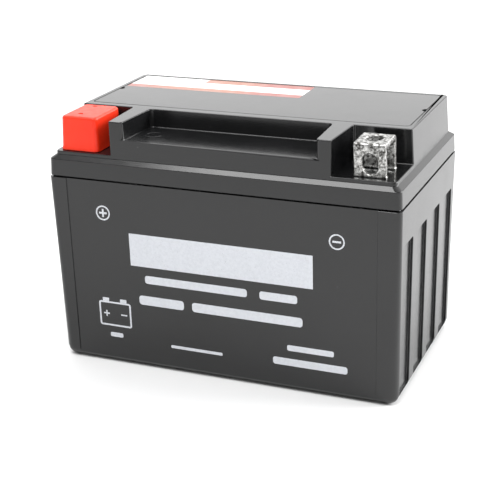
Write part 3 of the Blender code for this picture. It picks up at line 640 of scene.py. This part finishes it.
def build_case(finish):
    base_angles = [90.0 * step / 8 for step in range(9)]
    rings = [case_ring(BASE_ROUND * (1.0 - math.cos(math.radians(angle))), MOULD_STEP)
             for angle in base_angles]
    rings += [case_ring(MOULD_STEP_Z + 0.1, 0.0), case_ring(CASE_TOP - 0.25, 0.0)]
    half_x = HALF_LENGTH - RIM_BREAK
    half_y = HALF_WIDTH - RIM_BREAK
    rings.append((rounded_outline(-half_x, half_x, -half_y, half_y, CORNER_TOP, 8), CASE_TOP - 0.15))
    mesh = bmesh.new()
    add_loft(mesh, rings)
    case = make_object("case_shell", mesh)

    mesh = bmesh.new()
    first = GROOVE_OFFSET - GROOVE_PITCH * (GROOVE_COUNT - 1) / 2.0
    for side in (-1.0, 1.0):
        for groove in range(GROOVE_COUNT):
            add_groove(mesh, side, first + groove * GROOVE_PITCH)
    carve(case, mesh)
    mesh = bmesh.new()
    for side in (-1.0, 1.0):
        for groove in range(GROOVE_COUNT):
            add_groove_foot(mesh, side, first + groove * GROOVE_PITCH)
    carve(case, mesh)
    mesh = bmesh.new()
    add_panel(mesh, -1.0)
    add_panel(mesh, 1.0)
    carve(case, mesh)

    mesh = bmesh.new()
    for cell in range(CELLS):
        left = cell_left(cell)
        add_box(mesh, left, left + CELL_WIDTH, -CELL_HALF_DEPTH, CELL_HALF_DEPTH, CASE_FLOOR, CASE_TOP + 2.0)
    carve(case, mesh)
    mesh = bmesh.new()
    for link in range(CELLS - 1):
        wall = cell_left(link + 1) - PARTITION / 2.0
        y = LINK_HOLE_Y if link % 2 == 0 else -LINK_HOLE_Y
        add_x_prism(mesh, circle(y, LINK_HOLE_Z, LINK_HOLE_RADIUS, 24), wall - 1.2, wall + 1.2)
    carve(case, mesh)
    clean(case)
    shade(case)
    settle(case, finish, "battery", "black_case_plastic", "case")


# ---------------------------------------------------------------- lid
def front_inset(side_inset):
    """The lid's front stands a little further out than its other three sides."""
    if side_inset <= CHAMFER_INSET:
        return side_inset * FRONT_INSET / CHAMFER_INSET
    return FRONT_INSET + 0.1 * (side_inset - CHAMFER_INSET) / (BLOCK_TOP_INSET - CHAMFER_INSET)


def lid_ring(inset, z):
    rise = min(1.0, max(0.0, (inset - FLANGE_INSET) / (CHAMFER_INSET - FLANGE_INSET)))
    radius = 2.5 - 0.4 * rise
    half = HALF_LENGTH - inset
    outline = rounded_outline(-half, half, -HALF_WIDTH + front_inset(inset), HALF_WIDTH - inset, radius, 8)
    return outline, z


def notch_outline(side):
    """Terminal notch, open to the front and to the end of the battery."""
    outline = [
        (side * NOTCH_SIDE_FRONT, -HALF_WIDTH - 2.0),
        (side * (HALF_LENGTH + 2.0), -HALF_WIDTH - 2.0),
        (side * (HALF_LENGTH + 2.0), NOTCH_BACK),
    ]
    outline += [(side * x, y) for x, y in arc(NOTCH_SIDE_BACK + 1.0, NOTCH_BACK - 1.0, 1.0, 90.0, 180.0, 4)]
    return outline if side > 0.0 else list(reversed(outline))


def tray_outline():
    """Shallow tray between the terminals, open to the front, with a rounded mouth."""
    front = -HALF_WIDTH + FRONT_INSET
    right_half = [(TRAY_SIDE_FRONT + TRAY_MOUTH_ROUND, front - 3.0)]
    for step in range(9):
        angle = math.radians(90.0 * step / 8)
        right_half.append((TRAY_SIDE_FRONT + TRAY_MOUTH_ROUND * (1.0 - math.sin(angle)),
                           front + TRAY_MOUTH_ROUND * (1.0 - math.cos(angle))))
    right_half += arc(TRAY_SIDE_BACK - 1.8, TRAY_BACK - 1.8, 1.8, 0.0, 90.0, 5)
    left_half = [(-x, y) for x, y in reversed(right_half)]
    return right_half + left_half


def lid_edge_width(edge, low, high):
    """Bevel width of each of the lid's sharp edges above the notch floor."""
    middle = (low + high) / 2.0
    if low.z < NOTCH_FLOOR - 0.5:
        return 0.0
    upright = high.z - low.z > 0.5
    on_recess = abs(middle.x) < PLATE_RIGHT + 1.0 and middle.y > PLATE_FRONT - 1.0
    if on_recess:
        return 0.15 if middle.z > HEIGHT - 0.1 else 0.0
    if not edge.is_convex:
        return 0.0 if upright else 0.35
    if upright:
        return 0.7 if low.y < -40.0 and abs(middle.x) > NOTCH_SIDE_FRONT - 1.0 else 0.5
    if abs(middle.z - TRAY_FLOOR) < 0.1:
        return 0.9
    if middle.z > HEIGHT - 0.1:
        return 0.45
    return 0.3


def build_lid(finish):
    profile = rounded_path([
        (0.45, LID_BOTTOM + 0.1, 0.0), (0.2, LID_BOTTOM + 0.3, 0.0), (FLANGE_INSET, FLANGE_TOP, 0.35),
        (CHAMFER_INSET, CHAMFER_TOP, 0.5), (CHAMFER_INSET + 0.1, NOTCH_FLOOR, 0.0),
        (BLOCK_TOP_INSET, HEIGHT, 0.0)])
    mesh = bmesh.new()
    add_loft(mesh, [lid_ring(inset, z) for inset, z in profile])
    lid = make_object("lid_shell", mesh)

    above = HEIGHT + 4.0
    mesh = bmesh.new()
    add_prism(mesh, notch_outline(-1.0), NOTCH_FLOOR, above)
    add_prism(mesh, tray_outline(), TRAY_FLOOR, above)
    add_prism(mesh, notch_outline(1.0), NOTCH_FLOOR, above)
    carve(lid, mesh)
    mesh = bmesh.new()
    recess = rounded_outline(PLATE_LEFT - GAP, PLATE_RIGHT + GAP, PLATE_FRONT - GAP, PLATE_BACK + GAP, 2.3)
    add_prism(mesh, recess, PLATE_BOTTOM - GAP, above)
    carve(lid, mesh)
    clean(lid)
    soften(lid, 0.9, lid_edge_width, 4)

    mesh = bmesh.new()
    chamber = rounded_outline(PLATE_LEFT + CHAMBER_MARGIN, PLATE_RIGHT - CHAMBER_MARGIN,
                              PLATE_FRONT + CHAMBER_MARGIN, PLATE_BACK - CHAMBER_MARGIN, 2.0)
    add_prism(mesh, chamber, CHAMBER_FLOOR, PLATE_BOTTOM + 1.0)
    carve(lid, mesh)
    mesh = bmesh.new()
    for cell in range(CELLS):
        neck = circle(cell_centre(cell), VALVE_Y, NECK_RADIUS, 36)
        add_prism(mesh, neck, CHAMBER_FLOOR - 1.0, NECK_TOP)
    carve(lid, mesh, "UNION")
    mesh = bmesh.new()
    for cell in range(CELLS):
        left = cell_left(cell)
        add_box(mesh, left, left + CELL_WIDTH, -CELL_HALF_DEPTH, CELL_HALF_DEPTH, LID_BOTTOM - 2.0,
                HEADSPACE_TOP)
    carve(lid, mesh)
    mesh = bmesh.new()
    for cell in range(CELLS):
        end_cell = cell in (0, CELLS - 1)
        reach = CELL_HALF_LENGTH - 0.5 if end_cell else TRAY_SIDE_BACK - 1.0
        left = max(cell_left(cell) + 0.01, -reach)
        right = min(cell_left(cell) + CELL_WIDTH - 0.01, reach)
        top = NOTCH_UNDERSIDE if end_cell else TRAY_UNDERSIDE
        add_box(mesh, left, right, -HALF_WIDTH + FRONT_INSET + 1.8, TRAY_BACK - 1.2, HEADSPACE_TOP - 3.0, top)
    carve(lid, mesh)
    mesh = bmesh.new()
    for cell in range(CELLS):
        bore = circle(cell_centre(cell), VALVE_Y, NECK_BORE, 36)
        add_prism(mesh, bore, HEADSPACE_TOP - 2.0, NECK_TOP + 2.0)
    half = (TERMINAL_RIGHT - TERMINAL_LEFT) / 2.0 + GAP
    for side in (-1.0, 1.0):
        for near in (TERMINAL_FRONT, TERMINAL_BACK - TERMINAL_WALL):
            add_box(mesh, side * TERMINAL_X - half, side * TERMINAL_X + half, near - GAP,
                    near + TERMINAL_WALL + GAP, NOTCH_UNDERSIDE - 1.0, NOTCH_FLOOR + 1.0)
    carve(lid, mesh)
    shade(lid)
    settle(lid, finish, "battery", "black_lid_plastic", "lid")


def build_tray_marks(finish):
    """Polarity marks moulded into the tray's floor: a ringed plus and a bar."""
    mesh = bmesh.new()
    bottom = TRAY_FLOOR - 0.05
    top = TRAY_FLOOR + 0.14
    plus_x, plus_y, ring = -33.0, -28.6, 3.6
    outer = circle(plus_x, plus_y, ring, 48)
    inner = circle(plus_x, plus_y, ring - 0.55, 48)
    section = ((outer, bottom), (outer, top - 0.05), (circle(plus_x, plus_y, ring - 0.1, 48), top),
               (circle(plus_x, plus_y, ring - 0.45, 48), top), (inner, top - 0.05), (inner, bottom))
    add_rings(mesh, [[(x, y, z) for x, y in outline] for outline, z in section], close=True)
    arm = 1.9
    stroke = 0.3
    cross = [(plus_x + x, plus_y + y) for x, y in (
        (stroke, stroke), (stroke, arm), (-stroke, arm), (-stroke, stroke), (-arm, stroke), (-arm, -stroke),
        (-stroke, -stroke), (-stroke, -arm), (stroke, -arm), (stroke, -stroke), (arm, -stroke),
        (arm, stroke))]
    add_prism(mesh, cross, bottom, top)
    add_prism(mesh, rounded_outline(28.6, 36.6, -28.9, -28.0, 0.4, 4), bottom, top)
    marks = make_object("tray_polarity_marks", mesh)
    shade(marks)
    settle(marks, finish, "battery", "black_lid_plastic")


# ---------------------------------------------------------------- cover plate, label and seam
def build_cover_plate(finish):
    mesh = bmesh.new()
    outline = rounded_outline(PLATE_LEFT, PLATE_RIGHT, PLATE_FRONT, PLATE_BACK, 2.0, 8)
    add_prism(mesh, outline, PLATE_BOTTOM, HEIGHT)
    plate = make_object("cover_plate", mesh)
    mesh = bmesh.new()
    for edge in (PLATE_LEFT, PLATE_RIGHT):
        add_prism(mesh, circle(edge, VALVE_Y, PRY_NOTCH_RADIUS, 24), PLATE_BOTTOM - 1.0, HEIGHT + 1.0)
    carve(plate, mesh)
    clean(plate)
    soften(plate, 0.3, lambda edge, low, high: 0.3 if low.z > HEIGHT - 0.1 else 0.0, 3)
    mesh = bmesh.new()
    margin = 0.05
    recess = rounded_outline(LABEL_LEFT - margin, LABEL_RIGHT + margin, LABEL_FRONT - margin,
                             LABEL_BACK + margin, 0.85, 4)
    add_prism(mesh, recess, LABEL_BOTTOM - 0.03, HEIGHT + 1.0)
    carve(plate, mesh)
    shade(plate)
    settle(plate, finish, "battery", "black_lid_plastic", "top_cover_plate")


def build_label(finish):
    """Thin sticker whose surface waves a little."""
    mesh = bmesh.new()
    thickness = LABEL_TOP - LABEL_BOTTOM
    columns = 60
    rows = 16
    grid = []
    for row in range(rows + 1):
        line = []
        for column in range(columns + 1):
            x = LABEL_LEFT + (LABEL_RIGHT - LABEL_LEFT) * column / columns
            y = LABEL_FRONT + (LABEL_BACK - LABEL_FRONT) * row / rows
            wave = 0.02 * noise.noise(Vector((x * 0.08, y * 0.11, 3.0)))
            line.append((x, y, LABEL_TOP - 0.02 + wave))
        grid.append(line)
    upper = [[mesh.verts.new([value * MM for value in point]) for point in line] for line in grid]
    lower = [[mesh.verts.new((x * MM, y * MM, (z - thickness + 0.03) * MM)) for x, y, z in line]
             for line in grid]
    for row in range(rows):
        for column in range(columns):
            mesh.faces.new((upper[row][column], upper[row][column + 1],
                            upper[row + 1][column + 1], upper[row + 1][column]))
            mesh.faces.new((lower[row][column], lower[row + 1][column],
                            lower[row + 1][column + 1], lower[row][column + 1]))
    rim = [(0, column) for column in range(columns)] + [(row, columns) for row in range(rows)]
    rim += [(rows, columns - column) for column in range(columns)] + [(rows - row, 0) for row in range(rows)]
    for (row, column), (next_row, next_column) in zip(rim, rim[1:] + rim[:1]):
        mesh.faces.new((lower[row][column], lower[next_row][next_column],
                        upper[next_row][next_column], upper[row][column]))
    label = make_object("label_sheet", mesh)
    shade(label)
    settle(label, finish, "battery", "label_film", "top_label")


def build_seam(finish):
    """Weld bead that fills the joint between container and lid, with small flash beads along the front."""
    mesh = bmesh.new()
    rings = []
    foot = CASE_TOP + SEAM_CLEARANCE
    head = LID_BOTTOM - SEAM_CLEARANCE
    for inset, z in ((SEAM_EDGE_INSET, foot), (SEAM_FACE_INSET, (CASE_TOP + LID_BOTTOM) / 2.0),
                     (SEAM_EDGE_INSET, head), (SEAM_BACK_INSET, head), (SEAM_BACK_INSET, foot)):
        half_x = HALF_LENGTH - inset
        half_y = HALF_WIDTH - inset
        outline = rounded_outline(-half_x, half_x, -half_y, half_y, max(0.5, CORNER_TOP - inset), 8)
        rings.append([(x, y, z) for x, y in outline])
    add_rings(mesh, rings, close=True)
    draw = random.Random(11)
    for _ in range(FLASH_BEADS):
        x = draw.uniform(-52.0, -8.0) if draw.random() < 0.7 else draw.uniform(-66.0, 60.0)
        radius = draw.uniform(0.10, 0.24)
        place = Matrix.Translation((x * MM, (-HALF_WIDTH + FLASH_INSET) * MM, (CASE_TOP + 0.2) * MM))
        stretch = Matrix.Diagonal((draw.uniform(1.2, 3.0), 2.2, 1.0, 1.0))
        bmesh.ops.create_icosphere(mesh, subdivisions=2, radius=radius * MM, matrix=place @ stretch)
    seam = make_object("seam_weld", mesh)
    shade(seam, 50.0)
    settle(seam, finish, "battery", "black_case_plastic")


# ---------------------------------------------------------------- red cap
def build_red_cap(finish):
    """Soft moulded cap, hollow underneath, with a flared foot and two gate dimples on top."""
    wall = 1.0
    draft = 0.45
    crown = 1.15
    corner = 2.0
    top = CAP_TOP + 0.3
    left = CAP_LEFT - 0.4

    def ring(inset, z, radius):
        outline = rounded_outline(left + inset, CAP_RIGHT - inset, CAP_FRONT + inset, CAP_BACK - inset,
                                  radius, 8)
        return [(x, y, z) for x, y in outline]

    ceiling = CAP_TOP - 0.65
    foot = CAP_BOTTOM - 0.2
    rings = [ring(wall + draft + 1.2, ceiling, 0.6), ring(wall + draft + 0.3, ceiling - 0.3, 1.0),
             ring(wall + draft, ceiling - 1.1, 1.2), ring(wall, CAP_BOTTOM + 1.0, 1.4),
             ring(wall - 0.1, foot + 0.1, 1.4), ring(wall - 0.25, foot, 1.5),
             ring(0.0, foot, corner), ring(-0.18, foot + 0.07, corner),
             ring(-0.24, foot + 0.25, corner), ring(-0.15, CAP_BOTTOM + 0.7, corner),
             ring(0.0, CAP_BOTTOM + 1.3, corner), ring(0.08, CAP_BOTTOM + 3.0, corner)]
    shoulder = top - crown
    rings.append(ring(draft, shoulder, corner))
    for turn in (15.0, 30.0, 45.0, 60.0, 75.0, 86.0):
        angle = math.radians(turn)
        inset = draft + crown * (1.0 - math.cos(angle))
        rings.append(ring(inset, shoulder + crown * math.sin(angle) * 0.97,
                          corner - 0.8 * (1.0 - math.cos(angle))))
    rings.append(ring(draft + crown + 1.6, top - 0.015, 1.0))
    rings.append(ring(draft + crown + 4.0, top, 0.8))
    mesh = bmesh.new()
    add_rings(mesh, rings)
    cap = make_object("red_cap_shell", mesh)
    mesh = bmesh.new()
    for x, y in ((-63.4, -33.6), (-63.7, -21.0)):
        place = Matrix.Translation((x * MM, y * MM, top * MM)) @ Matrix.Diagonal((1.0, 0.9, 0.62, 1.0))
        bmesh.ops.create_uvsphere(mesh, u_segments=32, v_segments=16, radius=1.2 * MM, matrix=place)
    carve(cap, mesh)
    shade(cap, 45.0)
    settle(cap, finish, "red_cap", "red_cap_plastic", "red_terminal_cap")


# ---------------------------------------------------------------- terminals
def slot_ring(grow, y):
    """Egg-shaped bolt slot, narrower at its top, as a ring of points at a depth."""
    points = []
    reach = BOLT_SLOT_HEIGHT / 2.0 - BOLT_HOLE_RADIUS
    for step in range(48):
        angle = 2.0 * math.pi * (step + 0.5) / 48
        lift = reach if math.sin(angle) > 0.0 else -reach
        radius = BOLT_HOLE_RADIUS + grow
        pinch = 1.0 - 0.05 * max(0.0, math.sin(angle))
        points.append((TERMINAL_X + radius * math.cos(angle) * pinch, y,
                       BOLT_SLOT_Z + lift + radius * math.sin(angle)))
    return points


def hole_ring(grow, z, centre_y):
    return [(x, y, z) for x, y in circle(TERMINAL_X, centre_y, BOLT_HOLE_RADIUS + grow, 48)]


def bracket_mesh():
    """Upright bracket at the negative end: two legs and a top bent from one strip, on a buried foot plate."""
    front, back, top, wall = TERMINAL_FRONT, TERMINAL_BACK, TERMINAL_TOP, TERMINAL_WALL
    left, right = TERMINAL_LEFT, TERMINAL_RIGHT
    base = TERMINAL_BASE
    neck = base + 4.0
    outer = rounded_path([(back, neck, 0.0), (back, top, 2.3), (front, top, 1.1), (front, neck, 0.0)], 8)
    outer += [(front + 0.2, neck), (front + 0.2, base), (back - 0.2, base), (back - 0.2, neck)]
    mesh = bmesh.new()
    add_x_prism(mesh, list(reversed(outer)), left, right)
    bracket = make_object("bracket", mesh)
    inner = rounded_path([
        (back - wall, base + wall, 0.0), (back - wall, top - wall, 0.9), (front + wall, top - wall, 0.6),
        (front + wall, base + wall, 0.0)], 6)
    mesh = bmesh.new()
    add_x_prism(mesh, list(reversed(inner)), left - 1.0, right + 1.0)
    carve(bracket, mesh)

    centre_y = (front + back) / 2.0
    mesh = bmesh.new()
    add_rings(mesh, [slot_ring(0.35, front - 1.5), slot_ring(0.0, front + 0.2),
                     slot_ring(0.0, front + wall - 0.2), slot_ring(0.2, front + wall + 0.8)])
    carve(bracket, mesh)
    mesh = bmesh.new()
    add_rings(mesh, [hole_ring(0.15, top - wall - 0.8, centre_y), hole_ring(0.0, top - wall + 0.2, centre_y),
                     hole_ring(0.0, top - 0.25, centre_y), hole_ring(0.4, top + 1.0, centre_y)])
    carve(bracket, mesh)

    mesh = bmesh.new()
    mesh.from_mesh(bracket.data)
    add_rings(mesh, [slot_ring(0.75, front + 0.4), slot_ring(0.7, front - 0.02), slot_ring(0.5, front - 0.15),
                     slot_ring(0.3, front - 0.15), slot_ring(0.05, front + 0.1),
                     slot_ring(0.05, front + 0.4)], close=True)
    add_rings(mesh, [hole_ring(0.05, top - 0.4, centre_y), hole_ring(0.05, top - 0.1, centre_y),
                     hole_ring(0.25, top + 0.1, centre_y), hole_ring(0.45, top + 0.1, centre_y),
                     hole_ring(0.65, top, centre_y), hole_ring(0.65, top - 0.4, centre_y)], close=True)
    foot_z = NOTCH_FLOOR + 0.15
    for near, far in ((front, front + wall), (back - wall, back)):
        lip = rounded_outline(left - 0.35, right + 0.35, near - 0.35, far + 0.35, 0.5, 4)
        edge = rounded_outline(left - 0.05, right + 0.05, near - 0.05, far + 0.05, 0.3, 4)
        add_loft(mesh, [(lip, foot_z), (lip, foot_z + 0.3), (edge, foot_z + 0.75)])
    mesh.to_mesh(bracket.data)
    mesh.free()

    modifier = bracket.modifiers.new("cast", "REMESH")
    modifier.mode = "VOXEL"
    modifier.voxel_size = CAST_VOXEL * MM
    modifier.adaptivity = 0.0
    modifier = bracket.modifiers.new("dip", "SMOOTH")
    modifier.factor = 0.5
    modifier.iterations = 3
    bake(bracket)
    for vert in bracket.data.vertices:
        place = vert.co / MM
        if place.z < NOTCH_FLOOR + BRACKET_PLAIN_FOOT:
            continue
        lump = 0.055 * noise.noise(place * 0.55) + 0.03 * noise.noise(place * 1.7)
        vert.co += vert.normal * (lump * MM)
        lean = (place.z - NOTCH_FLOOR - BRACKET_PLAIN_FOOT) / (TERMINAL_TOP - NOTCH_FLOOR)
        vert.co.x -= BRACKET_SIDE_LEAN * MM * lean
    return bracket


def build_brackets(finish):
    negative = bracket_mesh()
    negative.name = "negative_bracket"
    positive = bpy.data.objects.new("positive_bracket", negative.data.copy())
    bpy.context.scene.collection.objects.link(positive)
    positive.data.transform(Matrix.Translation((-2.0 * TERMINAL_X * MM, 0.0, 0.0)))
    for vert in negative.data.vertices:
        place = vert.co / MM
        share = max(0.0, (place.z - NOTCH_FLOOR - BRACKET_PLAIN_FOOT) / (TERMINAL_TOP - NOTCH_FLOOR))
        share *= (place.y - TERMINAL_FRONT) / (TERMINAL_BACK - TERMINAL_FRONT)
        vert.co.y += NEGATIVE_BACK_LEAN * MM * share
        vert.co.z += NEGATIVE_RISE * MM * share
    for bracket, word in ((negative, "negative"), (positive, "positive")):
        bracket.data.shade_smooth()
        settle(bracket, finish, "battery", "tinned_lead", f"{word}_terminal")


# ---------------------------------------------------------------- front print
def panel_plane(z):
    """Y of the sunk front panel at a height."""
    return -(HALF_WIDTH - PANEL_DEPTH - wall_draft(z))


def add_ink(mesh, outline):
    """Lay ink over a counter-clockwise outline of (x, z) points on the front panel."""
    rings = []
    for lift in (INK_BACK, INK):
        rings.append([(x, panel_plane(z) - lift, z) for x, z in outline])
    add_rings(mesh, rings)


def add_ink_ring(mesh, outer, inner):
    rings = []
    for outline, lift in ((outer, INK_BACK), (outer, INK), (inner, INK), (inner, INK_BACK)):
        rings.append([(x, panel_plane(z) - lift, z) for x, z in outline])
    add_rings(mesh, rings, close=True)


def add_bar(mesh, left, right, bottom, top, radius=None):
    radius = (top - bottom) * 0.3 if radius is None else radius
    add_ink(mesh, rounded_outline(left, right, bottom, top, radius, 4))


def build_print(finish):
    """Plain panel, blank bars in place of lettering, polarity marks and a battery pictogram."""
    mesh = bmesh.new()
    add_bar(mesh, -39.6, 40.0, 46.0, 60.1, 0.15)
    for left, right, bottom, top in (
            (-33.4, 12.0, 38.7, 42.2), (17.4, 33.4, 38.7, 42.2),
            (-36.6, -16.2, 28.9, 33.0), (-12.5, 35.5, 28.9, 33.0),
            (-23.0, 0.3, 10.9, 12.2), (28.8, 48.5, 17.9, 20.4), (22.6, 54.1, 11.2, 14.4)):
        add_bar(mesh, left, right, bottom, top)
    for centre_x, centre_z, plus in ((-50.9, 67.7, True), (49.8, 66.9, False)):
        add_ink_ring(mesh, circle(centre_x, centre_z, 3.2, 60), circle(centre_x, centre_z, 2.6, 60))
        arm = 1.75
        add_bar(mesh, centre_x - arm, centre_x + arm, centre_z - 0.4, centre_z + 0.4, 0.05)
        if plus:
            add_bar(mesh, centre_x - 0.4, centre_x + 0.4, centre_z + 0.4, centre_z + arm, 0.05)
            add_bar(mesh, centre_x - 0.4, centre_x + 0.4, centre_z - arm, centre_z - 0.4, 0.05)
    left, right, bottom, top = -56.0, -41.0, 17.0, 28.2
    stroke = 0.75
    add_ink_ring(mesh, rounded_outline(left, right, bottom, top, 1.0, 4),
                 rounded_outline(left + stroke, right - stroke, bottom + stroke, top - stroke, 0.4, 4))
    for centre in (left + 3.4, right - 3.4):
        add_bar(mesh, centre - 1.5, centre + 1.5, top + 0.02, top + 1.6, 0.2)
        add_bar(mesh, centre - 1.4, centre + 1.4, 22.3, 22.9, 0.1)
    plus = left + 3.4
    add_bar(mesh, plus - 0.3, plus + 0.3, 22.92, 24.0, 0.1)
    add_bar(mesh, plus - 0.3, plus + 0.3, 21.2, 22.28, 0.1)
    add_bar(mesh, -51.5, -45.5, 12.0, 14.0)
    ink = make_object("front_print", mesh)
    shade(ink)
    settle(ink, finish, "battery", "label_film")


# ---------------------------------------------------------------- carried-over CAD nodes
def dress(node, finish):
    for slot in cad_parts[node].material_slots:
        slot.material = finish


def dress_inner_pieces(lead):
    resin = plain_stock("cured_resin", (0.035, 0.03, 0.03), (0.07, 0.06, 0.055), 400.0, 0.25, 0.5, 0.08)
    rubber = plain_stock("valve_rubber_stock", (0.018, 0.018, 0.018), (0.035, 0.034, 0.034),
                         900.0, 0.6, 0.85, 0.03)
    positive = plain_stock("lead_dioxide_paste", (0.075, 0.032, 0.018), (0.17, 0.08, 0.045),
                           700.0, 0.7, 0.95, 0.12)
    negative = plain_stock("sponge_lead_paste", (0.17, 0.175, 0.185), (0.34, 0.345, 0.36),
                           700.0, 0.55, 0.85, 0.12)
    mat = plain_stock("glass_fibre_mat", (0.62, 0.62, 0.60), (0.86, 0.86, 0.84), 1400.0, 0.8, 0.95, 0.10,
                      stretch=(1.0, 0.15, 1.0))
    for word in ("positive", "negative"):
        dress(f"{word}_terminal_seal", resin)
        dress(f"{word}_post", lead)
    for cell in range(1, CELLS + 1):
        dress(f"valve_cap_{cell}", rubber)
        dress(f"cell_{cell}_positive_plates", positive)
        dress(f"cell_{cell}_negative_plates", negative)
        dress(f"cell_{cell}_separator", mat)
    for link in range(1, CELLS):
        dress(f"intercell_link_{link}", lead)


# ---------------------------------------------------------------- floor
def lay_floor():
    made, tree, shader, places = new_material("pale_floor")
    tone = grain(tree, places, 3.0, 2.0)
    colour = blend_colour(tree, spread(tree, tone, 0.3, 0.7), (0.80, 0.80, 0.80), (0.84, 0.84, 0.84))
    rough = spread(tree, grain(tree, places, 40.0, 2.0), 0.3, 0.7, 0.65, 0.75)
    finish_shader(tree, shader, colour, rough)
    mesh = bmesh.new()
    bmesh.ops.create_grid(mesh, x_segments=1, y_segments=1, size=4.0)
    floor = make_object("floor", mesh)
    floor.data.materials.append(made)


# ---------------------------------------------------------------- assembly
place_camera()
light_studio()
lay_floor()
case_plastic = black_plastic("moulded_case_plastic", BLACK, 0.20, 0.0035)
lid_plastic = black_plastic("moulded_lid_plastic", BLACK, 0.17, 0.003)
lead = tinned_lead()
build_case(case_plastic)
build_lid(lid_plastic)
build_tray_marks(lid_plastic)
build_cover_plate(lid_plastic)
build_label(label_film())
build_seam(case_plastic)
build_red_cap(red_plastic())
build_brackets(lead)
build_print(print_ink())
dress_inner_pieces(lead)
